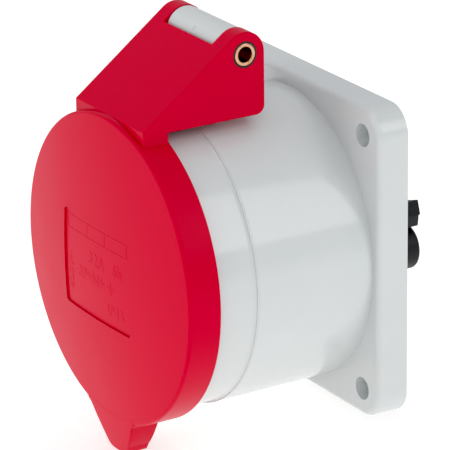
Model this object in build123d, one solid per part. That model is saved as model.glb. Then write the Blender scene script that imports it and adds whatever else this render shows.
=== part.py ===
from build123d import *
from math import asin, atan2, cos, degrees, hypot, radians, sin
import os

# Industrial panel socket, five poles, with a spring-closed lid.
# Millimetres. The panel face of the flange lies in the plane Y = 0, centred on the
# origin. The socket opens towards -Y, its terminals stand behind the panel at +Y,
# the hinge is at the top (+Z). "Depth" below means the distance in front of the
# panel face, so a depth of 20 is the plane Y = -20.

# Flange
flange_margin = 2.5
flange_depth = 9.0
flange_corner_r = 7.5
flange_edge_r = 1.5
flange_front_wall = 3.0
flange_rim_wall = 2.6
bolt_inset = 7.5
bolt_hole_d = 6.2
bolt_boss_r = 7.0
bolt_web = 8.0

# Body and collar: round, on an axis that lies a little below the flange's centre.
# The bore that takes the plug sets the size of all the round parts.
socket_drop = 1.0
body_length = 44.0
collar_step = 0.5
collar_front = 60.0
collar_edge_r = 2.9
collar_mouth_r = 0.8
shroud_r = 33.5
shroud_wall = 2.1
core_gap = 1.8
body_wall = 2.6
core_front_wall = 4.0
core_rib = 11.0
key_rib = 18.0
key_width = 9.0
key_depth = 3.4

# Seal in the panel face
seal_inset = 0.3
seal_width = 2.2
seal_depth = 2.0
seal_side_gap = 0.05
land_margin = 1.4

# Lid
lid_rim_gap = 0.6
lid_rim_wall = 1.6
lid_rim_length = 9.0
lid_face_wall = 2.5
lid_dome_rise = 4.0
lid_edge_r = 0.9
label_width = 33.0
label_height = 26.3
label_recess = 0.5
label_corner_r = 1.0
tab_length = 9.9
tab_root_half = 11.2
tab_tip_half = 4.2
tab_tip_r = 3.0
tab_root_r = 2.0
tab_thickness = 8.0
gasket_thickness = 2.5
gasket_lip = 1.7
gasket_lip_height = 1.9
gasket_gap = 0.3

# Hinge
hinge_depth = 33.2
hinge_rise = 17.2
hinge_half = 17.5
ear_thickness = 5.5
ear_wall = 2.8
ear_corner_r = 2.5
ear_floor_gap = 0.4
wedge_setback = 1.6
wedge_edge_r = 0.5
wedge_wall = 3.0
barrel_wall = 0.85
barrel_side_gap = 0.3
barrel_front_gap = 0.8
pin_d = 6.2
pin_wall = 0.8
pin_edge_r = 0.25
pin_recess = 0.8
pin_running_gap = 0.06
ear_mouth = 0.35

# Lid spring
wire_d = 1.0
coil_pitch = 1.35
coil_turns = 4.75
coil_pin_gap = 0.4
coil_hood_gap = 0.35
spring_leg = 7.0
tang_length = 2.2
tang_gap = 0.3
tang_shift = 0.1

# Contact carrier
plug_gap = 7.0
boss_recess = 5.0
boss_edge_r = 1.0
plug_depth = 44.0
carrier_flange = 5.0
carrier_gap = 0.25
carrier_ear_half = 4.2
carrier_ear_thickness = 3.0
carrier_screw_out = 2.4
entry_wall = 4.0
entry_gap = 0.5
entry_chamfer = 0.7

# Contacts: one set of sizes for the line and neutral poles, one for earth
pole_inset = 9.3
pole_step = 72.0
line_pin_d = 6.0
earth_pin_d = 8.0
sleeve_pin_gap = 0.03
sleeve_wall = 1.25
sleeve_slit = 0.8
sleeve_slit_length = 20.0
sleeve_bore_depth = 34.0
sleeve_front_gap = 0.6
sleeve_collar = 1.6
sleeve_collar_thickness = 2.0
chamber_gap = 0.6
ring_wall = 0.6
ring_width = 2.8
ring_setback = 3.0
ring_groove = 0.4
ring_gap = 0.05
wire_hole_d = 5.8
wire_hole_depth = 15.0

# Terminal block
block_base_inset = 3.5
block_base = 6.0
tower_wall = 1.3
tower_reach = 18.0
tower_end_wall = 3.5
tower_edge_r = 0.8
hub_r = 8.0
hub_reach = 13.0
rib_width = 4.0
rib_over = 5.4
wire_funnel = 1.0
terminal_depth_gap = 0.5

# Screws
clamp_screw_d = 3.8
clamp_head_d = 5.2
clamp_head = 2.2
clamp_behind = 8.5
clamp_open = 0.1
clamp_shank = 4.2
fixing_d = 2.6
fixing_head_d = 4.6
fixing_head = 2.0
fixing_length = 14.0
block_screw_d = 3.5
block_head_d = 6.4
block_head = 2.4
block_screw_bite = 16.0
screw_slot = 0.9
screw_slot_depth = 0.9
screw_gap = 0.05

# Values that follow from those above
axis_z = -socket_drop
core_inner_r = shroud_r + shroud_wall
core_outer_r = core_inner_r + core_gap
body_r = core_outer_r + body_wall
collar_r = body_r - collar_step
flange_side = 2 * (body_r + flange_margin)
bolt_spacing = flange_side - 2 * bolt_inset
seal_mid_r = body_r - seal_inset
seal_inner_r = seal_mid_r - seal_width / 2
seal_outer_r = seal_mid_r + seal_width / 2
lid_seat = collar_front + gasket_thickness
lid_edge = lid_seat + lid_face_wall
lid_rim_rear = lid_edge - lid_rim_length
lid_rim_inner_r = collar_r + lid_rim_gap
lid_r = lid_rim_inner_r + lid_rim_wall
tab_reach = lid_r + tab_length
dome_top = lid_edge + lid_dome_rise
dome_r = (lid_r**2 + lid_dome_rise**2) / (2 * lid_dome_rise)
hinge_z = body_r + hinge_rise + axis_z
slot_half = hinge_half - ear_thickness
barrel_half = slot_half - barrel_side_gap
pin_r = pin_d / 2
ear_r = pin_r + ear_wall
coil_inner_r = pin_r + coil_pin_gap
coil_mid_r = coil_inner_r + wire_d / 2
coil_bore_r = coil_mid_r + wire_d / 2 + coil_hood_gap
barrel_r = coil_bore_r + barrel_wall
coil_length = coil_pitch * coil_turns
coil_end = -slot_half + wire_d
coil_bore_end = coil_end + coil_length + wire_d / 2 + coil_hood_gap
boss_r = shroud_r - plug_gap
boss_front = collar_front - boss_recess
floor_depth = collar_front - plug_depth
carrier_rear = floor_depth - carrier_flange
carrier_r = shroud_r - carrier_gap
carrier_screw_r = shroud_r + carrier_screw_out
pole_circle_r = boss_r - pole_inset
entry_rear = boss_front - entry_wall
sleeve_front = entry_rear - sleeve_front_gap
block_front = carrier_rear
block_base_rear = block_front - block_base
block_base_r = shroud_r - block_base_inset
rib_outer_r = pole_circle_r + rib_over

poles = {
    "pe": (270.0, earth_pin_d),
    "n": (270.0 + pole_step, line_pin_d),
    "l3": (270.0 + 2 * pole_step, line_pin_d),
    "l2": (270.0 + 3 * pole_step, line_pin_d),
    "l1": (270.0 + 4 * pole_step, line_pin_d),
}


def sleeve_r(bore_d):
    return bore_d / 2 + sleeve_pin_gap + sleeve_wall


def chamber_r(bore_d):
    return sleeve_r(bore_d) + chamber_gap


def tower_r(bore_d):
    return chamber_r(bore_d) + tower_wall


def at_depth(depth):
    """Plane at a depth, on the socket's axis, with its normal towards the front."""
    return Plane.XZ.offset(depth) * Pos(0, axis_z)


def rod(radius, rear, front, spot=(0.0, 0.0)):
    """Cylinder along the socket's axis between two depths."""
    bottom = (Align.CENTER, Align.CENTER, Align.MIN)
    return at_depth(rear) * Pos(*spot) * Cylinder(radius, front - rear, align=bottom)


def tube(outer, inner, rear, front, spot=(0.0, 0.0)):
    return rod(outer, rear, front, spot) - rod(inner, rear, front, spot)


def prism(sketch, rear, front):
    """A sketch in the socket's cross-section, extruded between two depths."""
    return extrude(at_depth(rear) * sketch, front - rear, dir=(0, -1, 0))


def cross_rod(radius, left, right, depth=hinge_depth, height=hinge_z):
    """Cylinder along X between two X values."""
    bottom = (Align.CENTER, Align.CENTER, Align.MIN)
    place = Plane.YZ.offset(left) * Pos(-depth, height)
    return place * Cylinder(radius, right - left, align=bottom)


def side_slab(points, left, right):
    """A side outline of (depth, height) points, extruded along X."""
    outline = Polygon(*[(-depth, height) for depth, height in points], align=None)
    return extrude(Plane.YZ.offset(left) * outline, right - left, dir=(1, 0, 0))


def pole_spot(angle, radius=pole_circle_r):
    return (radius * cos(radians(angle)), radius * sin(radians(angle)))


def upper_tangent(depth, height, centre_depth, centre_height, radius):
    """Where the upper tangent from a point in front of a circle touches the circle."""
    back, up = depth - centre_depth, centre_height - height
    rise = atan2(up, back) + asin(radius / hypot(back, up))
    return centre_depth + radius * sin(rise), centre_height + radius * cos(rise), rise


def bolt_spots():
    return GridLocations(bolt_spacing, bolt_spacing, 2, 2)


def make_flange():
    plate = extrude(Plane.XZ * RectangleRounded(flange_side, flange_side, flange_corner_r), flange_depth)
    rim = plate.faces().sort_by(Axis.Y)[0].outer_wire().edges()
    plate = fillet(rim, flange_edge_r)
    # Cored from the panel side: eight pockets between rim, bolt bosses and seal land
    inner_side = flange_side - 2 * flange_rim_wall
    pockets = Rectangle(inner_side, inner_side)
    pockets -= Pos(0, axis_z) * Circle(seal_outer_r + land_margin + socket_drop)
    web_length = bolt_spacing / 2 * 2**0.5
    for spot in bolt_spots():
        turn = degrees(atan2(spot.position.Y, spot.position.X))
        pockets -= spot * Circle(bolt_boss_r)
        pockets -= Rot(0, 0, turn) * Pos(web_length / 2) * Rectangle(web_length, bolt_web)
    plate -= extrude(Plane.XZ * pockets, flange_depth - flange_front_wall)
    for spot in bolt_spots():
        plate -= extrude(Plane.XZ * spot * Circle(bolt_hole_d / 2), flange_depth)
    return plate


def make_body():
    collar = rod(collar_r, body_length, collar_front)
    lip = collar.faces().sort_by(Axis.Y)[0].edges()
    collar = fillet(lip, collar_edge_r)
    body = rod(body_r, 0, body_length) + collar
    post = side_slab(
        [
            (hinge_depth + barrel_r, 0),
            (hinge_depth + barrel_r, hinge_z),
            (hinge_depth - barrel_r, hinge_z),
            (hinge_depth - barrel_r, 0),
        ],
        -barrel_half,
        barrel_half,
    )
    return body + post + cross_rod(barrel_r, -barrel_half, barrel_half)


def core_cut():
    """Cores between the shroud and the outer wall, broken by ribs on the four sides."""
    ring = Circle(core_outer_r) - Circle(core_inner_r)
    reach = 2 * body_r
    ring -= Rectangle(reach, core_rib)
    ring -= Pos(0, body_r) * Rectangle(2 * barrel_half, reach)
    ring -= Pos(0, -body_r) * Rectangle(key_rib, reach)
    return prism(ring, 0, collar_front - core_front_wall)


def carrier_ears(half_width, reach, rear, front):
    ear = SlotCenterToCenter(2 * (reach - half_width), 2 * half_width)
    return prism(ear, rear, front)


def hood_cut():
    """Spring chamber in the barrel, open at its left end, and the slot for the fixed leg."""
    chamber = cross_rod(coil_bore_r, -barrel_half, coil_bore_end)
    front = hinge_depth + coil_bore_r
    rear = hinge_depth - barrel_r
    low = hinge_z - spring_leg - coil_hood_gap
    slot = side_slab(
        [(front, low), (front, hinge_z), (rear, hinge_z), (rear, low)],
        coil_bore_end - wire_d - 2 * coil_hood_gap,
        coil_bore_end,
    )
    return chamber + slot


def make_housing():
    housing = make_flange() + make_body()
    housing -= rod(shroud_r, 0, collar_front)
    mouth = housing.faces().sort_by(Axis.Y)[0].edges().sort_by(SortBy.RADIUS)[0]
    housing = chamfer(mouth, collar_mouth_r)
    housing -= core_cut()
    housing -= tube(seal_outer_r, seal_inner_r, 0, seal_depth)
    key = Pos(0, -(shroud_r + key_depth) / 2) * Rectangle(key_width, shroud_r + key_depth)
    housing -= prism(key, floor_depth, collar_front) - rod(boss_r, floor_depth, collar_front)
    ear_reach = carrier_screw_r + carrier_ear_half
    ear_front = carrier_rear + carrier_ear_thickness
    notch = carrier_ears(carrier_ear_half + carrier_gap, ear_reach + carrier_gap, 0, ear_front)
    housing -= notch & rod(seal_inner_r - carrier_gap, 0, ear_front)
    for side in (-1, 1):
        spot = (side * carrier_screw_r, 0)
        housing -= rod(fixing_d / 2 + screw_gap, ear_front, ear_front + fixing_length, spot)
    housing -= hood_cut()
    housing -= cross_rod(pin_r, -barrel_half, barrel_half)
    return housing


def tab_sketch():
    """Thumb tab: slanted sides that start inside the disc, and a rounded tip."""
    root_z = -((lid_r**2 - tab_root_half**2) ** 0.5)
    slant = (tab_root_half - tab_tip_half) / (root_z + tab_reach)
    inner_z = -((lid_rim_inner_r**2 - tab_root_half**2) ** 0.5)
    inner_half = tab_root_half + (inner_z - root_z) * slant
    tab = Polygon(
        (-inner_half, inner_z),
        (inner_half, inner_z),
        (tab_tip_half, -tab_reach),
        (-tab_tip_half, -tab_reach),
        align=None,
    )
    return fillet(tab.vertices().sort_by(Axis.Y)[:2], tab_tip_r)


def lid_outline():
    outline = Circle(lid_r) + tab_sketch()
    roots = outline.vertices().sort_by(lambda v: abs(abs(v.X) - tab_root_half))[:2]
    return fillet(roots, tab_root_r)


def dome(offset=0.0):
    """Ball whose front is the lid's face, moved back by an offset."""
    return at_depth(dome_top - dome_r) * Sphere(dome_r - offset)


def wedge_profile():
    foot_depth = lid_edge - wedge_setback
    foot_z = lid_r + axis_z
    touch_depth, touch_z, rise = upper_tangent(foot_depth, foot_z, hinge_depth, hinge_z, ear_r)
    return foot_depth, foot_z, touch_depth, touch_z, rise


def make_wedge():
    foot_depth, foot_z, touch_depth, touch_z, rise = wedge_profile()
    floor_z = body_r + ear_floor_gap + axis_z
    rear = hinge_depth - ear_r
    sunk_z = (lid_rim_inner_r**2 - hinge_half**2) ** 0.5 + axis_z
    slab = side_slab(
        [
            (foot_depth, sunk_z),
            (foot_depth, foot_z),
            (touch_depth, touch_z),
            (hinge_depth, hinge_z),
            (rear, hinge_z),
            (rear, floor_z),
            (lid_rim_rear, floor_z),
            (lid_rim_rear, sunk_z),
        ],
        -hinge_half,
        hinge_half,
    )
    heel = Vector(0, -rear, floor_z)
    lower = slab.edges().filter_by(Axis.X).sort_by(lambda edge: (edge.center() - heel).length)
    slab = fillet(lower[0], ear_corner_r)
    wedge = slab + cross_rod(ear_r, -hinge_half, hinge_half)
    return fillet(wedge.faces().filter_by(Axis.X).edges(), wedge_edge_r)


def wedge_hollow():
    """The space under the wedge's top wall, between the ears."""
    foot_depth, foot_z, touch_depth, touch_z, rise = wedge_profile()
    drop = wedge_wall / cos(rise)
    slope = sin(rise) / cos(rise)
    slot_front = hinge_depth + barrel_r + barrel_front_gap
    below = axis_z
    roof_front = foot_z - drop
    roof_rear = roof_front + (foot_depth - slot_front) * slope
    hollow = side_slab(
        [(foot_depth, below), (foot_depth, roof_front), (slot_front, roof_rear), (slot_front, below)],
        -slot_half,
        slot_half,
    )
    hollow -= rod(lid_r, lid_rim_rear, lid_edge)
    top = hinge_z + 2 * ear_r
    gap = side_slab(
        [(slot_front, below), (slot_front, top), (0, top), (0, below)],
        -slot_half,
        slot_half,
    )
    return hollow + gap


def make_lid():
    outline = lid_outline()
    lid = prism(outline, lid_rim_rear, dome_top) & dome()
    lid -= prism(outline - Circle(lid_r), lid_rim_rear, lid_edge - tab_thickness)
    face = lid.faces().filter_by(GeomType.SPHERE).sort_by(Axis.Y)[0]
    lid = fillet(face.outer_wire().edges(), lid_edge_r)
    lid += make_wedge()
    lid -= wedge_hollow()
    lid -= rod(lid_rim_inner_r, 0, lid_seat)
    inside = rod(shroud_r - gasket_lip, 0, dome_top) & dome(lid_face_wall)
    lid -= inside
    lip = tube(shroud_r, shroud_r - gasket_lip, lid_seat - gasket_lip_height, lid_seat)
    lid += lip
    label = prism(RectangleRounded(label_width, label_height, label_corner_r), lid_seat, dome_top)
    lid -= label - dome(label_recess)
    bore_r = pin_r + pin_running_gap
    lid -= cross_rod(bore_r, -hinge_half, hinge_half)
    below = (Align.CENTER, Align.CENTER, Align.MAX)
    for side in (-1, 1):
        cone = Cone(bore_r, bore_r + ear_mouth, ear_mouth, align=below)
        lid -= Plane(origin=(side * hinge_half, -hinge_depth, hinge_z), z_dir=(side, 0, 0)) * cone
    lid -= tang_notch()
    return lid


def tang_notch():
    """Notch beside the left ear's bore for the spring's moving end."""
    width = wire_d + 2 * tang_gap
    reach = coil_mid_r + tang_shift + wire_d / 2 + tang_gap
    depth = tang_length + tang_gap
    return side_slab(
        [
            (hinge_depth - width / 2, hinge_z),
            (hinge_depth + width / 2, hinge_z),
            (hinge_depth + width / 2, hinge_z - reach),
            (hinge_depth - width / 2, hinge_z - reach),
        ],
        -slot_half - depth,
        -slot_half,
    )


def make_gasket():
    return tube(lid_rim_inner_r - gasket_gap, shroud_r + gasket_gap, collar_front, lid_seat)


def make_pin():
    half = hinge_half - pin_recess
    pin = cross_rod(pin_r, -half, half) - cross_rod(pin_r - pin_wall, -half, half)
    return fillet(pin.faces().filter_by(Axis.X).edges(), pin_edge_r)


def make_spring():
    """Coil round the pin. Its left end turns into the ear, its right end runs down the post."""
    helix = Helix(coil_pitch, coil_length, coil_mid_r)
    wire = Plane(origin=helix @ 0, z_dir=helix % 0) * Circle(wire_d / 2)
    coil = sweep(wire, path=helix)
    # The helix starts below the pin at its left end, and ends in front of it, heading down
    coil = Plane(origin=(coil_end, -hinge_depth, hinge_z), x_dir=(0, 0, -1), z_dir=(1, 0, 0)) * coil
    low = hinge_z - coil_mid_r - tang_shift
    tang = cross_rod(wire_d / 2, -slot_half - tang_length, coil_end, hinge_depth, low)
    leg_top = Pos(coil_end + coil_length, -hinge_depth - coil_mid_r, hinge_z)
    leg = leg_top * Cylinder(wire_d / 2, spring_leg, align=(Align.CENTER, Align.CENTER, Align.MAX))
    leg += leg_top * Sphere(wire_d / 2)
    return coil + leg + tang


def make_seal():
    outer, inner = seal_outer_r - seal_side_gap, seal_inner_r + seal_side_gap
    return tube(outer, inner, 0, seal_depth)


def make_carrier():
    boss = rod(boss_r, floor_depth, boss_front)
    boss = fillet(boss.faces().sort_by(Axis.Y)[0].edges(), boss_edge_r)
    carrier = boss + rod(carrier_r, carrier_rear, floor_depth)
    ear_front = carrier_rear + carrier_ear_thickness
    ears = carrier_ears(carrier_ear_half, carrier_screw_r + carrier_ear_half, carrier_rear, ear_front)
    carrier += ears & rod(seal_inner_r - 2 * carrier_gap, carrier_rear, ear_front)
    for side in (-1, 1):
        carrier -= rod(fixing_d / 2 + screw_gap, carrier_rear, ear_front, (side * carrier_screw_r, 0))
    for angle, bore_d in poles.values():
        spot = pole_spot(angle)
        entry_r = bore_d / 2 + entry_gap
        carrier -= rod(chamber_r(bore_d), carrier_rear, entry_rear, spot)
        carrier -= rod(entry_r, entry_rear, boss_front, spot)
        seat_r = sleeve_r(bore_d) + sleeve_collar + carrier_gap
        carrier -= rod(seat_r, carrier_rear, carrier_rear + sleeve_collar_thickness, spot)
        below = (Align.CENTER, Align.CENTER, Align.MAX)
        cone = Cone(entry_r, entry_r + entry_chamfer, entry_chamfer, align=below)
        carrier -= at_depth(boss_front) * Pos(*spot) * cone
    carrier -= rod(block_screw_d / 2 + screw_gap, carrier_rear, carrier_rear + block_screw_bite)
    return carrier


def make_block():
    block = rod(block_base_r, block_base_rear, block_front)
    block += rod(hub_r, -hub_reach, block_base_rear)
    for angle, bore_d in poles.values():
        tower = rod(tower_r(bore_d), -tower_reach, block_base_rear, pole_spot(angle))
        tower = fillet(tower.faces().sort_by(Axis.Y)[-1].edges(), tower_edge_r)
        block += tower
        rib = Rot(0, 0, angle + pole_step / 2) * Pos(rib_outer_r / 2) * Rectangle(rib_outer_r, rib_width)
        block += prism(rib, -tower_reach, block_base_rear)
    for angle, bore_d in poles.values():
        spot = pole_spot(angle)
        block -= rod(chamber_r(bore_d), -tower_reach + tower_end_wall, block_front, spot)
        entry_r = wire_hole_d / 2
        block -= rod(entry_r, -tower_reach, -tower_reach + tower_end_wall, spot)
        above = (Align.CENTER, Align.CENTER, Align.MIN)
        cone = Cone(entry_r + wire_funnel, entry_r, wire_funnel, align=above)
        block -= at_depth(-tower_reach) * Pos(*spot) * cone
        reach = tower_r(bore_d) + clamp_head
        block -= radial_rod(clamp_head_d / 2 + screw_gap, angle, 0, reach)
    block -= rod(block_screw_d / 2 + screw_gap, -hub_reach, block_front)
    block -= rod(block_head_d / 2 + screw_gap, -hub_reach, -hub_reach + block_head)
    return block


def radial_rod(radius, angle, start, end):
    """Cylinder across a terminal, outwards from its axis, at the clamp screw's height."""
    place = at_depth(-clamp_behind) * Rot(0, 0, angle) * Pos(pole_circle_r + start) * Rot(0, 90, 0)
    return place * Cylinder(radius, end - start, align=(Align.CENTER, Align.CENTER, Align.MIN))


def make_contact(angle, bore_d):
    spot = pole_spot(angle)
    outer = sleeve_r(bore_d)
    rear = -tower_reach + tower_end_wall + terminal_depth_gap
    contact = rod(outer, rear, sleeve_front, spot)
    contact += rod(outer + sleeve_collar, carrier_rear, carrier_rear + sleeve_collar_thickness, spot)
    contact -= rod(bore_d / 2 + sleeve_pin_gap, sleeve_front - sleeve_bore_depth, sleeve_front, spot)
    contact -= rod(wire_hole_d / 2, rear, rear + wire_hole_depth, spot)
    ring_front = sleeve_front - ring_setback
    contact -= tube(outer, outer - ring_groove, ring_front - ring_width, ring_front, spot)
    for turn in (angle, angle + 90):
        slit = Pos(*spot) * Rot(0, 0, turn) * Rectangle(3 * outer, sleeve_slit)
        contact -= prism(slit, sleeve_front - sleeve_slit_length, sleeve_front)
    return contact - radial_rod(clamp_screw_d / 2 + screw_gap, angle, 0, 2 * outer)


def make_ring(angle, bore_d):
    front = sleeve_front - ring_setback - ring_gap
    inner = sleeve_r(bore_d) - ring_groove + ring_gap
    return tube(inner + ring_wall, inner, front - ring_width + 2 * ring_gap, front, pole_spot(angle))


def make_clamp_screw(angle, bore_d):
    tip = wire_hole_d / 2 + clamp_open
    seat = tip + clamp_shank + bore_d / 2 - line_pin_d / 2
    screw = radial_rod(clamp_screw_d / 2, angle, tip, seat)
    screw += radial_rod(clamp_head_d / 2, angle, seat, seat + clamp_head)
    place = at_depth(-clamp_behind) * Rot(0, 0, angle) * Pos(pole_circle_r + seat + clamp_head)
    return screw - place * Box(2 * screw_slot_depth, clamp_head_d, screw_slot)


def make_fixing(side):
    spot = (side * carrier_screw_r, 0)
    front = carrier_rear + carrier_ear_thickness + fixing_length - fixing_d / 2
    screw = rod(fixing_d / 2, carrier_rear, front, spot)
    screw += rod(fixing_head_d / 2, carrier_rear - fixing_head, carrier_rear, spot)
    slot = at_depth(carrier_rear - fixing_head) * Pos(*spot)
    return screw - slot * Box(fixing_head_d, screw_slot, 2 * screw_slot_depth)


def make_block_screw():
    seat = -hub_reach + block_head
    screw = rod(block_screw_d / 2, seat, carrier_rear + block_screw_bite - block_screw_d / 2)
    screw += rod(block_head_d / 2, -hub_reach, seat)
    return screw - at_depth(-hub_reach) * Box(block_head_d, screw_slot, 2 * screw_slot_depth)


def make_nodes():
    nodes = {
        "housing": make_housing(),
        "lid": make_lid(),
        "lid_gasket": make_gasket(),
        "hinge_pin": make_pin(),
        "lid_spring": make_spring(),
        "flange_seal": make_seal(),
        "contact_carrier": make_carrier(),
        "terminal_block": make_block(),
        "carrier_screws": Compound([make_fixing(side).solid() for side in (-1, 1)]),
        "block_screw": make_block_screw(),
    }
    for name, (angle, bore_d) in poles.items():
        nodes["contact_" + name] = make_contact(angle, bore_d)
        nodes["ring_" + name] = make_ring(angle, bore_d)
    clamps = [make_clamp_screw(angle, bore_d).solid() for angle, bore_d in poles.values()]
    nodes["terminal_screws"] = Compound(clamps)
    return nodes


os.makedirs("parts", exist_ok=True)
for node, shape in make_nodes().items():
    export_step(shape, f"parts/{node}.step")
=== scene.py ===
import bmesh
import bpy
import numpy as np
from mathutils import Matrix, Vector


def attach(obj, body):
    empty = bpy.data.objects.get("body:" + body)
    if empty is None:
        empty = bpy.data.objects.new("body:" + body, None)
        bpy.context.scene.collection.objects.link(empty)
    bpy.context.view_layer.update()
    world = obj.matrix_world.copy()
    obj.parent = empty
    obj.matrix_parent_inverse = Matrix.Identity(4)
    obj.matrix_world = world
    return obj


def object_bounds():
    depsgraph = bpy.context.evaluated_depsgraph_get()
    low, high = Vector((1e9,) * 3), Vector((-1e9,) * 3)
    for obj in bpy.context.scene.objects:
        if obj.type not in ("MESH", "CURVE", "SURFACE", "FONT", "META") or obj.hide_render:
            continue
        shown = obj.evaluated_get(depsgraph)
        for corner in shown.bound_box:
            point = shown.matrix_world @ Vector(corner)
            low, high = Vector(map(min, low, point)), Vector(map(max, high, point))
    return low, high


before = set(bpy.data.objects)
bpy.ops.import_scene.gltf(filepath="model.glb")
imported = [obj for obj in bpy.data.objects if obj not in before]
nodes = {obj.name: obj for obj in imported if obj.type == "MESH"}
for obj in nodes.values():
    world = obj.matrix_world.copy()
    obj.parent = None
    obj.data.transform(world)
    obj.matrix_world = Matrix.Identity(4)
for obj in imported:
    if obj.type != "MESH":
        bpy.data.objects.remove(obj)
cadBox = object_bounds()
print("frame loaded:", len(nodes), "nodes")

mm = 0.001


def linear(hexColour):
    # sRGB to linear light: a straight line near black, a power of 2.4 above it
    values = np.array([int(hexColour[i:i + 2], 16) for i in (1, 3, 5)]) / 255
    light = np.where(values <= 0.04045, values / 12.92, ((values + 0.055) / 1.055) ** 2.4)
    return (*light.tolist(), 1.0)


def addNode(tree, kind, inputs=None, **settings):
    # one node: settings are its own options, inputs are values or other nodes' outputs by socket
    made = tree.nodes.new("ShaderNode" + kind)
    for name, value in settings.items():
        setattr(made, name, value)
    for socket, value in (inputs or {}).items():
        if isinstance(value, bpy.types.NodeSocket):
            tree.links.new(value, made.inputs[socket])
        else:
            made.inputs[socket].default_value = value
    return made


def newMaterial(name):
    # an empty material and its tree
    material = bpy.data.materials.new(name)
    material.use_nodes = True
    material.node_tree.nodes.clear()
    return material, material.node_tree


def perMetre(sizeMm):
    # a pattern's scale: how often its real size fits into a metre
    return 1 / (sizeMm * mm)


usualLow, usualHigh = 0.3, 0.7  # nearly all of a noise lies between these


def mouldedPolyamide(look):
    # An injection moulding from a polished tool: satin skin, faint cloudy tone from the melt's
    # flow, gloss that wanders a little, and a grain that only breaks up the highlights. The real
    # grain is too fine to show, so it is drawn as coarse as it needs to show
    material, tree = newMaterial(look["name"])
    spot = addNode(tree, "TexCoord").outputs["Object"]
    cloud = addNode(tree, "TexNoise", {"Vector": spot, "Scale": perMetre(look["cloudMm"]),
                                       "Detail": 3.0})
    grain = addNode(tree, "TexNoise", {"Vector": spot, "Scale": perMetre(look["grainMm"]),
                                       "Detail": 2.0})
    tone = addNode(tree, "Mix", {0: cloud.outputs["Fac"], 6: linear(look["deep"]),
                                 7: linear(look["pale"])}, data_type="RGBA")
    gloss = addNode(tree, "MapRange", {"Value": cloud.outputs["Fac"],
                                       "From Min": usualLow, "From Max": usualHigh,
                                       "To Min": look["rough"][0], "To Max": look["rough"][1]})
    relief = addNode(tree, "Bump", {"Height": grain.outputs["Fac"],
                                    "Strength": look["grainStrength"],
                                    "Distance": look["grainDeepMm"] * mm})
    skin = addNode(tree, "BsdfPrincipled", {
        "Base Color": tone.outputs[2], "Roughness": gloss.outputs["Result"], "IOR": look["ior"],
        "Specular IOR Level": look["specular"], "Normal": relief.outputs["Normal"]})
    addNode(tree, "OutputMaterial", {"Surface": skin.outputs["BSDF"]})
    return material


greyPolyamide = mouldedPolyamide({
    "name": "moulded polyamide, light grey", "deep": "#cdd1d1", "pale": "#d2d6d6", "cloudMm": 14,
    "grainMm": 0.5, "grainStrength": 0.2, "grainDeepMm": 0.01, "rough": (0.1, 0.14), "ior": 1.53,
    "specular": 0.5})
redPolyamide = mouldedPolyamide({
    "name": "moulded polyamide, signal red", "deep": "#c9042e", "pale": "#cf0534", "cloudMm": 16,
    "grainMm": 0.5, "grainStrength": 0.3, "grainDeepMm": 0.01, "rough": (0.28, 0.36), "ior": 1.53,
    "specular": 0.095})
blackPolyamide = mouldedPolyamide({
    "name": "moulded polyamide, black", "deep": "#0b0b0d", "pale": "#111214", "cloudMm": 8,
    "grainMm": 0.4, "grainStrength": 0.5, "grainDeepMm": 0.02, "rough": (0.38, 0.5), "ior": 1.53,
    "specular": 0.35})


def sealRubber(look):
    # Pressed rubber: matt and nearly black, with a powdery bloom in faint patches and a grain that
    # is drawn coarser than the real one, so that it shows
    material, tree = newMaterial(look["name"])
    spot = addNode(tree, "TexCoord").outputs["Object"]
    bloom = addNode(tree, "TexNoise", {"Vector": spot, "Scale": perMetre(look["bloomMm"]),
                                       "Detail": 4.0})
    grain = addNode(tree, "TexNoise", {"Vector": spot, "Scale": perMetre(look["grainMm"]),
                                       "Detail": 2.0})
    tone = addNode(tree, "Mix", {0: bloom.outputs["Fac"], 6: linear(look["deep"]),
                                 7: linear(look["pale"])}, data_type="RGBA")
    relief = addNode(tree, "Bump", {"Height": grain.outputs["Fac"],
                                    "Strength": look["grainStrength"],
                                    "Distance": look["grainDeepMm"] * mm})
    skin = addNode(tree, "BsdfPrincipled", {
        "Base Color": tone.outputs[2], "Roughness": look["rough"], "IOR": look["ior"],
        "Normal": relief.outputs["Normal"]})
    addNode(tree, "OutputMaterial", {"Surface": skin.outputs["BSDF"]})
    return material


softSeal = sealRubber({
    "name": "pressed rubber, black", "deep": "#141414", "pale": "#26262a", "bloomMm": 5,
    "grainMm": 0.35, "grainStrength": 0.4, "grainDeepMm": 0.03, "rough": 0.68, "ior": 1.52})


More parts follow.
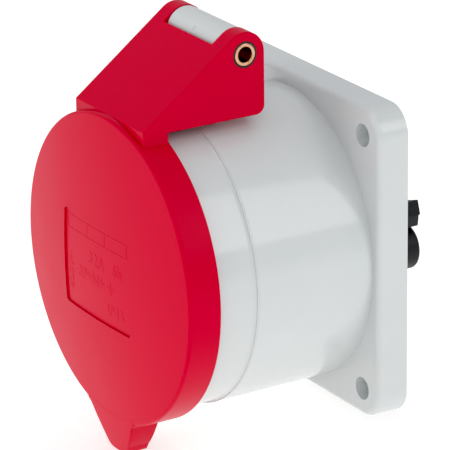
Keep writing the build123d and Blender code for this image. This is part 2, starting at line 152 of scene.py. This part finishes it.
def turnedMetal(look):
    # Machined or drawn metal: lathe or die lines round the piece, a little tarnish in soft patches.
    # Real lines are too fine to show, so their pitch is drawn as coarse as it needs to show
    material, tree = newMaterial(look["name"])
    spot = addNode(tree, "TexCoord").outputs["Object"]
    patch = addNode(tree, "TexNoise", {"Vector": spot, "Scale": perMetre(look["patchMm"]),
                                       "Detail": 4.0})
    tone = addNode(tree, "Mix", {0: patch.outputs["Fac"], 6: linear(look["deep"]),
                                 7: linear(look["pale"])}, data_type="RGBA")
    gloss = addNode(tree, "MapRange", {"Value": patch.outputs["Fac"],
                                       "From Min": usualLow, "From Max": usualHigh,
                                       "To Min": look["rough"][0], "To Max": look["rough"][1]})
    # a wave's period is 1 / (scale * 20 / (2 pi)) of its axis, so the scale comes from the pitch
    lines = addNode(tree, "TexWave", {"Vector": spot, "Distortion": 0.6, "Detail": 1.0,
                                      "Scale": perMetre(look["pitchMm"]) * 2 * np.pi / 20},
                    wave_type="BANDS", bands_direction=look["axis"])
    relief = addNode(tree, "Bump", {"Height": lines.outputs["Fac"],
                                    "Strength": look["lineStrength"],
                                    "Distance": look["lineDeepMm"] * mm})
    skin = addNode(tree, "BsdfPrincipled", {
        "Base Color": tone.outputs[2], "Roughness": gloss.outputs["Result"], "Metallic": 1.0,
        "Normal": relief.outputs["Normal"]})
    addNode(tree, "OutputMaterial", {"Surface": skin.outputs["BSDF"]})
    return material


turnedBrass = turnedMetal({
    "name": "turned brass", "deep": "#b98a3c", "pale": "#d9b365", "patchMm": 3, "pitchMm": 0.3,
    "axis": "Y", "rough": (0.2, 0.36), "lineStrength": 0.35, "lineDeepMm": 0.01})
platedSteel = turnedMetal({
    "name": "zinc-plated steel", "deep": "#9a9ea2", "pale": "#c8cbce", "patchMm": 1.5,
    "pitchMm": 0.4, "axis": "Y", "rough": (0.24, 0.42), "lineStrength": 0.2, "lineDeepMm": 0.008})
drawnTube = turnedMetal({
    "name": "copper-washed steel tube", "deep": "#c88d68", "pale": "#f0c6a4", "patchMm": 1.2,
    "pitchMm": 0.35, "axis": "X", "rough": (0.25, 0.4), "lineStrength": 0.2, "lineDeepMm": 0.01})

finishes = {"grey_polyamide": greyPolyamide, "red_polyamide": redPolyamide,
            "black_polyamide": blackPolyamide, "seal_rubber": softSeal, "brass": turnedBrass,
            "steel": platedSteel, "hinge_tube": drawnTube}
for node in nodes.values():
    slotName = node.data.materials[0].name
    node.data.materials.clear()
    node.data.materials.append(finishes[slotName])
print("finishes set on", len(nodes), "nodes")

# Where the solids' surfaces lie, in millimetres, as the part's source has them
shape = {"axisZ": -1.0, "domeTop": 69.0, "domeR": 219.36, "labelRecess": 0.5, "labelWide": 33.0,
         "labelHigh": 26.3, "bossFront": 55.0, "hubRear": 13.0, "hingeDepth": 33.2, "hingeZ": 56.2,
         "barrelR": 5.7}


def onLabel(flat):
    # Label floor: a ball. A point goes from the ball's centre in the direction
    # (u, v, root(R2 - u2 - v2)), out to the ball's radius plus its height. u is right, v is up,
    # h is height, all in millimetres
    radius = shape["domeR"] - shape["labelRecess"]
    u, v, h = flat.T
    ahead = np.sqrt(radius ** 2 - u ** 2 - v ** 2)
    grow = (radius + h) / radius
    back = shape["domeTop"] - shape["domeR"]
    return np.stack([u * grow, -(back + ahead * grow), shape["axisZ"] + v * grow], 1) * mm


def onBoss(flat):
    # Flat face of the contact carrier, seen from the front
    u, v, h = flat.T
    return np.stack([u, -shape["bossFront"] - h, shape["axisZ"] + v], 1) * mm


def onHub(flat):
    # Flat end of the terminal block's hub, seen from behind, so u runs the other way
    u, v, h = flat.T
    return np.stack([-u, shape["hubRear"] + h, shape["axisZ"] + v], 1) * mm


def onBarrel(flat):
    # Hinge barrel: u along the pin, v round it as an arc length from the top towards the front,
    # h outwards
    u, v, h = flat.T
    turn = v / shape["barrelR"]
    reach = shape["barrelR"] + h
    ahead = shape["hingeDepth"] + reach * np.sin(turn)
    return np.stack([u, -ahead, shape["hingeZ"] + reach * np.cos(turn)], 1) * mm


def addPiece(name, bm, body, slotName, smoothDeg=0):
    # doubles merged, faces turned outwards, then the mesh is finished, rides and takes its finish
    bmesh.ops.remove_doubles(bm, verts=bm.verts, dist=1e-7)
    bmesh.ops.recalc_face_normals(bm, faces=bm.faces)
    mesh = bpy.data.meshes.new(name)
    bm.to_mesh(mesh)
    bm.free()
    if smoothDeg:
        mesh.shade_smooth()
        mesh.set_sharp_from_angle(angle=np.radians(smoothDeg))
    mesh.materials.append(finishes[slotName])
    piece = bpy.data.objects.new(name, mesh)
    bpy.context.scene.collection.objects.link(piece)
    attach(piece, body)
    print(name, "on", body, len(mesh.polygons), "faces")


def addMesh(bm, points, faces):
    # points in metres and faces by their numbers, added to a piece that is being made
    mesh = bpy.data.meshes.new("form")
    mesh.from_pydata(points.reshape(-1, 3).tolist(), [], faces)
    bm.from_mesh(mesh)
    bpy.data.meshes.remove(mesh)


def gridQuads(rows, columns, joined=False):
    # quads between rows of points. Each row closes on itself; joined rows also close, last to first
    i, j = np.meshgrid(np.arange(rows if joined else rows - 1), np.arange(columns), indexing="ij")
    i, j = i.ravel(), j.ravel()
    nextI, nextJ = (i + 1) % rows, (j + 1) % columns
    return np.stack([i * columns + j, i * columns + nextJ,
                     nextI * columns + nextJ, nextI * columns + j], 1).tolist()


def addLoft(bm, front, rear):
    # Sections along a path: each section runs along a row of the front and comes back along the
    # same row of the rear, so a cap is a strip of quads between the two. Both ends are capped
    rings = np.concatenate([front, rear[:, ::-1]], 1)
    count, around = rings.shape[:2]
    n = np.arange(around // 2 - 1)
    cap = np.stack([n, n + 1, around - 2 - n, around - 1 - n], 1)
    lastCap = cap + (count - 1) * around
    addMesh(bm, rings, gridQuads(count, around) + cap.tolist() + lastCap.tolist())


def turnSection(section, count):
    # A section of pairs, each a radius and a place along the axis, turned right round: gives the
    # places along the axis and the two distances across it, a row for each of so many angles
    radius, along = np.array(section).T
    angle = np.linspace(0, 2 * np.pi, count, endpoint=False)[:, None]
    along = np.broadcast_to(along, (count, len(along)))
    return along, radius * np.cos(angle), radius * np.sin(angle)


def addTurned(bm, rings):
    # a turned section in millimetres, closed both ways
    addMesh(bm, rings * mm, gridQuads(*rings.shape[:2], joined=True))


def turnFlat(flat, turnDeg):
    # flat points turned about their origin: u cos - v sin to the right, u sin + v cos up
    c, s = np.cos(np.radians(turnDeg)), np.sin(np.radians(turnDeg))
    return flat @ np.array([[c, s], [-s, c]])


letterForm = {"capShare": 0.7, "flatShare": 1 / 3, "bevelSteps": 1, "curveSteps": 3}


def addWords(bm, words, surface, raised):
    # each word: its letters, cap height, place and turn on the surface, as solid letters with
    # rounded edges that stand on it
    for letters, high, place, turnDeg in words:
        curve = bpy.data.curves.new("letters", "FONT")
        curve.body, curve.size = letters, high / letterForm["capShare"]
        curve.extrude = raised * letterForm["flatShare"]
        curve.offset = -curve.extrude
        curve.bevel_depth = raised * (1 - letterForm["flatShare"])
        curve.bevel_resolution = letterForm["bevelSteps"]
        curve.resolution_u = letterForm["curveSteps"]
        curve.align_x, curve.align_y = "CENTER", "CENTER"
        holder = bpy.data.objects.new("letters", curve)
        bpy.context.scene.collection.objects.link(holder)
        graph = bpy.context.evaluated_depsgraph_get()
        mesh = bpy.data.meshes.new_from_object(holder.evaluated_get(graph))
        flat = np.empty(len(mesh.vertices) * 3)
        mesh.vertices.foreach_get("co", flat)
        flat = flat.reshape(-1, 3)
        flat[:, :2] = turnFlat(flat[:, :2], turnDeg) + place
        mesh.vertices.foreach_set("co", surface(flat).ravel())
        bm.from_mesh(mesh)
        bpy.data.objects.remove(holder)
        bpy.data.curves.remove(curve)
        bpy.data.meshes.remove(mesh)


# The ridge's profile, as shares of its width and height: its feet lie a little under the surface
ridgeForm = {"stepMm": 0.5, "across": (-0.5, -0.2, 0.2, 0.5), "height": (-0.3, 1.0, 1.0, -0.3)}


def addRidge(bm, corners, wide, raised, surface, closed):
    # Profile along a path: the path runs through the corners in short steps, the profile is a low
    # trapezium, and at each point it is set out along the mitre of the two neighbouring runs'
    # normals
    corners = np.array(corners + corners[:1] if closed else corners, float)
    runs = np.hypot(*np.diff(corners, axis=0).T)
    along = np.concatenate([[0], np.cumsum(runs)])
    steps = int(along[-1] / ridgeForm["stepMm"]) + 2
    marks = np.union1d(np.linspace(0, along[-1], steps), along)
    path = np.stack([np.interp(marks, along, corners[:, k]) for k in (0, 1)], 1)
    way = np.diff(path, axis=0)
    way /= np.hypot(*way.T)[:, None]
    before = np.vstack([way[-1:] if closed else way[:1], way])
    after = np.vstack([way, way[:1] if closed else way[-1:]])
    normals = [np.stack([-w[:, 1], w[:, 0]], 1) for w in (before, after)]
    mitre = (normals[0] + normals[1]) / (1 + (normals[0] * normals[1]).sum(1, keepdims=True))
    across = np.array(ridgeForm["across"]) * wide
    height = np.array(ridgeForm["height"]) * raised
    count, around = len(path), len(across)
    grid = np.concatenate([path[:, None, :] + across[None, :, None] * mitre[:, None, :],
                           np.broadcast_to(height[None, :, None], (count, around, 1))], 2)
    firstEnd = np.arange(around)
    ends = [firstEnd.tolist(), (count * around - 1 - firstEnd).tolist()]
    addMesh(bm, surface(grid.reshape(-1, 3)), gridQuads(count, around) + ([] if closed else ends))


# Earth sign: a stem over three bars, each shorter than the one above, in shares of its height
earthBars = [((0, 0.5), (0, 0.05)), ((-0.5, 0.05), (0.5, 0.05)), ((-0.32, -0.22), (0.32, -0.22)),
             ((-0.14, -0.49), (0.14, -0.49))]


def addEarthSign(bm, centre, high, wide, raised, surface):
    # a ridge for each stroke, its ends at the centre plus their shares of the height
    for ends in earthBars:
        run = np.array(centre) + high * np.array(ends)
        addRidge(bm, run.tolist(), wide, raised, surface, closed=False)


def smoothStep(value, low, high):
    # from 0 at low to 1 at high, as three squares less two cubes
    x = np.clip((value - low) / (high - low), 0, 1)
    return x * x * (3 - 2 * x)


def quarterRound(x):
    # how far a quarter of a unit circle has bent away at x
    return 1 - np.sqrt(1 - x ** 2)


# Thumb tab's skin: the lid's ball carried on past the disc, so that the face runs into the tab
# without a groove. Rows are arcs at a distance r from the lid's axis, columns run across at
# u = w(r) sin(x). The half width w is a straight taper plus a quarter ellipse at the root, which
# makes the sides hollow there, less a quarter round at the tip. The tip is bowed by a cube of x.
# The front is the ball's depth at r, less a round that falls off towards the outline
tab = {"innerR": 37.5, "discR": 41.7, "tipR": 51.58, "rootHalf": 11.25, "taper": 0.6,
       "hollow": (1.0, 1.3), "tipRound": 0.9, "bow": 1.9, "bowFrom": 43.0, "edgeRound": 0.7,
       "sunk": -0.06, "proud": 0.04, "sinkFrom": 38.5, "sinkTo": 41.0,
       "rearDisc": 63.6, "rearTab": 56.92, "rearFrom": 40.4, "rearTo": 40.9,
       "rows": 40, "rootRows": (40.3, 43.6, 34), "tipRows": 15, "columns": 57, "smoothDeg": 40}
r = np.unique(np.concatenate([np.linspace(tab["innerR"], tab["tipR"], tab["rows"]),
                              np.linspace(*tab["rootRows"]),
                              tab["tipR"] - np.linspace(0, 1, tab["tipRows"]) ** 2]))[:, None]
x = np.sin(np.linspace(-1, 1, tab["columns"]) * np.pi / 2)[None, :]
hollowWide, hollowDeep = tab["hollow"]
fromRoot = np.clip(1 - (r - tab["discR"]) / hollowDeep, 0, 1)
fromTip = np.clip((r - tab["tipR"]) / tab["tipRound"] + 1, 0, 1)
half = (tab["rootHalf"] - tab["taper"] * np.clip(r - tab["discR"], 0, None)
        + hollowWide * quarterRound(fromRoot) - tab["tipRound"] * quarterRound(fromTip))
u = half * x
bowed = np.clip((r - tab["bowFrom"]) / (tab["tipR"] - tab["bowFrom"]), 0, 1) ** 2
reach = r - tab["bow"] * bowed * np.abs(x) ** 3
v = -np.sqrt(reach ** 2 - u ** 2)
edge = tab["edgeRound"]
nearSide = np.clip(edge - half * (1 - np.abs(x)), 0, None)
nearTip = np.clip(edge - (tab["tipR"] - r), 0, None)
fall = edge - np.sqrt(np.clip(edge ** 2 - nearSide ** 2 - nearTip ** 2, 0, None))
rise = smoothStep(r, tab["sinkFrom"], tab["sinkTo"])
lift = tab["sunk"] + (tab["proud"] - tab["sunk"]) * rise
ball = shape["domeTop"] - shape["domeR"] + np.sqrt(shape["domeR"] ** 2 - reach ** 2)
front = ball + lift - fall
rear = np.broadcast_to(np.interp(r, (tab["rearFrom"], tab["rearTo"]),
                                 (tab["rearDisc"], tab["rearTab"])), front.shape)
bm = bmesh.new()
addLoft(bm, *(np.stack([u, -depth, shape["axisZ"] + v], 2) * mm for depth in (front, rear)))
addPiece("tabSkin", bm, "lid", "red_polyamide", tab["smoothDeg"])

# Label floor: an even slab a hair above the field's own floor
plate = {"inset": 0.03, "top": 0.03, "bottom": -0.2, "columns": 41, "rows": 33, "smoothDeg": 40}
u, v = np.meshgrid(
    np.linspace(-1, 1, plate["columns"]) * (shape["labelWide"] / 2 - plate["inset"]),
    np.linspace(-1, 1, plate["rows"]) * (shape["labelHigh"] / 2 - plate["inset"]))
bm = bmesh.new()
addLoft(bm, *(onLabel(np.stack([u.ravel(), v.ravel(), np.full(u.size, h)], 1)).reshape(*u.shape, 3)
              for h in (plate["top"], plate["bottom"])))
addPiece("labelFloor", bm, "lid", "red_polyamide", plate["smoothDeg"])

# Body's front edge: a narrow facet that looks forwards and out, then a slope to the collar, turned
# about the socket's axis. Each pair is a radius and a depth; the last two lie inside the housing
bead = {"around": 240, "smoothDeg": 12,
        "section": ((39.98, 43.3), (40.1, 43.45), (40.1, 43.55), (39.82, 43.98), (39.72, 44.1),
                    (39.45, 45.0), (39.2, 45.0), (39.2, 43.3))}
depth, across, up = turnSection(bead["section"], bead["around"])
bm = bmesh.new()
addTurned(bm, np.stack([across, -depth, shape["axisZ"] + up], 2))
addPiece("bodyEdge", bm, "socket", "grey_polyamide", bead["smoothDeg"])

# Rolled ends of the hinge tube, and thin black rings round them that are painted shade: they stand
# for the gap between pin and bore, which lies in shade. Both are turned about the pin. Each pair is
# a radius and a place along the pin
pinEnds = {"around": 64, "smoothDeg": 50, "sections": {
    "tubeLips": ("hinge_tube", ((2.06, 17.0), (2.06, 17.5), (2.16, 17.62), (2.36, 17.68),
                                (2.74, 17.68), (2.92, 17.62), (3.0, 17.5), (3.0, 17.0))),
    # painted shade: black rubber rings where the gap round the pin lies in shade
    "pinGapShade": ("seal_rubber", ((3.02, 17.51), (3.02, 17.54), (3.08, 17.57), (3.44, 17.57),
                                  (3.5, 17.53), (3.5, 17.51)))}}
for name, (slotName, section) in pinEnds["sections"].items():
    along, back, up = turnSection(section, pinEnds["around"])
    bm = bmesh.new()
    for side in (-1, 1):
        addTurned(bm, np.stack([side * along, back - shape["hingeDepth"], shape["hingeZ"] + up], 2))
    addPiece(name, bm, "socket", slotName, pinEnds["smoothDeg"])

# Walls behind the flange, one beside each tower: a rectangle with rounded corners, drawn straight
# back. Its sides are in a frame that is turned from the tower's own direction
walls = {"poles": (270, 342, 54, 126, 198), "turnDeg": 10.5, "x": (9.0, 20.65), "y": (4.15, 9.65),
         "corner": 0.5, "cornerPoints": 5, "front": -4.6, "rear": 17.96, "smoothDeg": 40}
arc = np.linspace(0, np.pi / 2, walls["cornerPoints"])
corner = np.stack([np.cos(arc), np.sin(arc)], 1) * walls["corner"]
middle = np.mean([walls["x"], walls["y"]], 1)
inner = np.ptp([walls["x"], walls["y"]], 1) / 2 - walls["corner"]
quarter = corner + inner
outline = middle + np.concatenate([quarter, quarter[::-1] * (-1, 1), quarter * (-1, -1),
                                   quarter[::-1] * (1, -1)])
bm = bmesh.new()
for poleDeg in walls["poles"]:
    flat = turnFlat(outline, poleDeg + walls["turnDeg"])
    rings = np.stack([np.stack([flat[:, 0], np.full(len(flat), y), shape["axisZ"] + flat[:, 1]], 1)
                      for y in (walls["front"], walls["rear"])]) * mm
    front, rear = np.split(rings, 2, axis=1)
    addLoft(bm, front, rear[:, ::-1])
addPiece("blockWalls", bm, "socket", "black_polyamide", walls["smoothDeg"])

# Label field in the lid: a bare frame along its top, and the ratings that such a socket carries
label = {"raised": 0.1, "line": 0.55, "inset": 1.5, "frameHigh": 3.6, "boxWide": 10.5,
         "words": [("32A", 3.5, (0.4, 2.9), 0), ("6h", 3.5, (10.6, 2.9), 0),
                   ("3P+N+", 3.2, (-2.4, -2.5), 0), ("IP44", 3.2, (9.4, -8.6), 0),
                   ("400V~", 2.8, (-13.3, -3.6), 90)],
         "earth": (7.4, -2.5), "earthHigh": 3.2}
right, top = (shape[side] / 2 - label["inset"] for side in ("labelWide", "labelHigh"))
low = top - label["frameHigh"]
bm = bmesh.new()
addRidge(bm, [(-right, low), (right, low), (right, top), (-right, top)], label["line"],
         label["raised"], onLabel, closed=True)
for u in (-right + label["boxWide"], right - label["boxWide"]):
    addRidge(bm, [(u, low), (u, top)], label["line"], label["raised"], onLabel, closed=False)
addPiece("labelFrame", bm, "lid", "red_polyamide")
bm = bmesh.new()
addWords(bm, label["words"], onLabel, label["raised"])
addEarthSign(bm, label["earth"], label["earthHigh"], label["line"], label["raised"], onLabel)
addPiece("labelRatings", bm, "lid", "red_polyamide")

# Pole marks, raised on the contact carrier's face inside the ring of contacts, and on the hub
# behind. Each place has its surface, the marks' distance from the axis, their height and the side
# that they are seen from
poles = {"marks": {"N": 342, "L3": 54, "L2": 126, "L1": 198}, "earthDeg": 270, "raised": 0.15,
         "line": 0.45, "places": {"poleMarks": (onBoss, 10.9, 2.3, 1),
                                  "terminalMarks": (onHub, 5.7, 1.7, -1)}}
for name, (surface, away, high, side) in poles["places"].items():
    bm = bmesh.new()
    spots = {word: (side * away * np.cos(np.radians(deg)), away * np.sin(np.radians(deg)))
             for word, deg in (*poles["marks"].items(), ("earth", poles["earthDeg"]))}
    addWords(bm, [(word, high, spots[word], 0) for word in poles["marks"]], surface,
             poles["raised"])
    addEarthSign(bm, spots["earth"], high, poles["line"], poles["raised"], surface)
    addPiece(name, bm, "socket", "black_polyamide")

# Gate mark on the hinge barrel: a low ring where the melt came in
gate = {"along": 0.0, "round": 5.2, "radius": 0.45, "line": 0.3, "raised": 0.1, "sides": 20}
turns = np.linspace(0, 2 * np.pi, gate["sides"], endpoint=False)
bm = bmesh.new()
addRidge(bm, np.stack([gate["along"] + gate["radius"] * np.cos(turns),
                       gate["round"] + gate["radius"] * np.sin(turns)], 1).tolist(),
         gate["line"], gate["raised"], onBarrel, closed=True)
addPiece("gateMark", bm, "socket", "grey_polyamide")

# Camera at the photograph's place: its own axes from the fit, in the row frame
camera = {"place": (0.74946, -0.48549, 0.32920), "right": (0.52376, 0.85178, -0.01169),
          "up": (-0.29041, 0.19144, 0.93756), "back": (0.80083, -0.48766, 0.34763),
          "focalPx": 3554.0, "framePx": 450, "sensorMm": 36.0, "nearest": 0.01}
lensData = bpy.data.cameras.new("camera")
lensData.sensor_width = camera["sensorMm"]
lensData.lens = camera["focalPx"] / camera["framePx"] * camera["sensorMm"]
lensData.clip_start = camera["nearest"]
eye = bpy.data.objects.new("camera", lensData)
turn = Matrix((camera["right"], camera["up"], camera["back"])).transposed()
eye.matrix_world = Matrix.Translation(Vector(camera["place"])) @ turn.to_4x4()
bpy.context.scene.collection.objects.link(eye)
bpy.context.scene.camera = eye

# Stage: a pale light table that fades away from the part, an even room, soft panels round it.
# The black point gives the photograph's deep, saturated reds
stage = {"floorGap": 0.0005, "floorHalf": 4.0, "floorTone": "#f4f4f2", "floorRough": 0.6,
         "glowCentre": (-0.15, 0.1, 0.0), "glowNear": 0.5, "glowFar": 0.1, "fadeFrom": 0.4,
         "fadeTo": 1.0, "roomTone": "#fbfcff", "roomLight": 0.61, "blackPoint": 0.015,
         "panels": {"front": {"place": (-0.55, -1.4, 0.4), "size": (0.8, 0.8), "watt": 5.6},
                    "edge": {"place": (1.02, 0.6, 0.8), "size": (0.5, 1.0), "watt": 2.9},
                    "top": {"place": (0.0, 0.0, 1.5), "size": (0.9, 0.9), "watt": 2.0},
                    "eye": {"place": (0.95, -0.65, 0.7), "size": (0.25, 0.6), "watt": 1.6}}}
floorZ = cadBox[0].z - stage["floorGap"]
floorMesh = bpy.data.meshes.new("floor")
floorMesh.from_pydata([(x * stage["floorHalf"], y * stage["floorHalf"], floorZ)
                       for x, y in ((-1, -1), (1, -1), (1, 1), (-1, 1))], [], [(0, 1, 2, 3)])
floor = bpy.data.objects.new("floor", floorMesh)
bpy.context.scene.collection.objects.link(floor)
floorPaint, floorTree = newMaterial("lit white table")
floorSpot = addNode(floorTree, "TexCoord").outputs["Object"]
away = addNode(floorTree, "VectorMath", {0: floorSpot, 1: stage["glowCentre"]},
               operation="DISTANCE")
fade = addNode(floorTree, "MapRange", {"Value": away.outputs["Value"],
                                       "From Min": stage["fadeFrom"], "From Max": stage["fadeTo"],
                                       "To Min": stage["glowNear"], "To Max": stage["glowFar"]},
               interpolation_type="SMOOTHSTEP")
floorSkin = addNode(floorTree, "BsdfPrincipled", {
    "Base Color": linear(stage["floorTone"]), "Roughness": stage["floorRough"],
    "Emission Color": linear(stage["floorTone"]), "Emission Strength": fade.outputs["Result"]})
addNode(floorTree, "OutputMaterial", {"Surface": floorSkin.outputs["BSDF"]})
floorMesh.materials.append(floorPaint)

room = bpy.data.worlds.new("room")
room.use_nodes = True
room.node_tree.nodes.clear()
glow = addNode(room.node_tree, "Background", {"Color": linear(stage["roomTone"]),
                                              "Strength": stage["roomLight"]})
addNode(room.node_tree, "OutputWorld", {"Surface": glow.outputs["Background"]})
bpy.context.scene.world = room

for name, panel in stage["panels"].items():
    light = bpy.data.lights.new(name, "AREA")
    light.shape = "RECTANGLE"
    light.size, light.size_y = panel["size"]
    light.energy = panel["watt"]
    lamp = bpy.data.objects.new(name, light)
    lamp.location = panel["place"]
    aim = -lamp.location
    lamp.rotation_euler = aim.to_track_quat("-Z", "Y").to_euler()
    bpy.context.scene.collection.objects.link(lamp)
display = bpy.context.scene.view_settings
display.view_transform = "Standard"
display.use_curve_mapping = True
display.curve_mapping.black_level = (stage["blackPoint"],) * 3
display.curve_mapping.update()
print("camera, floor and light set")
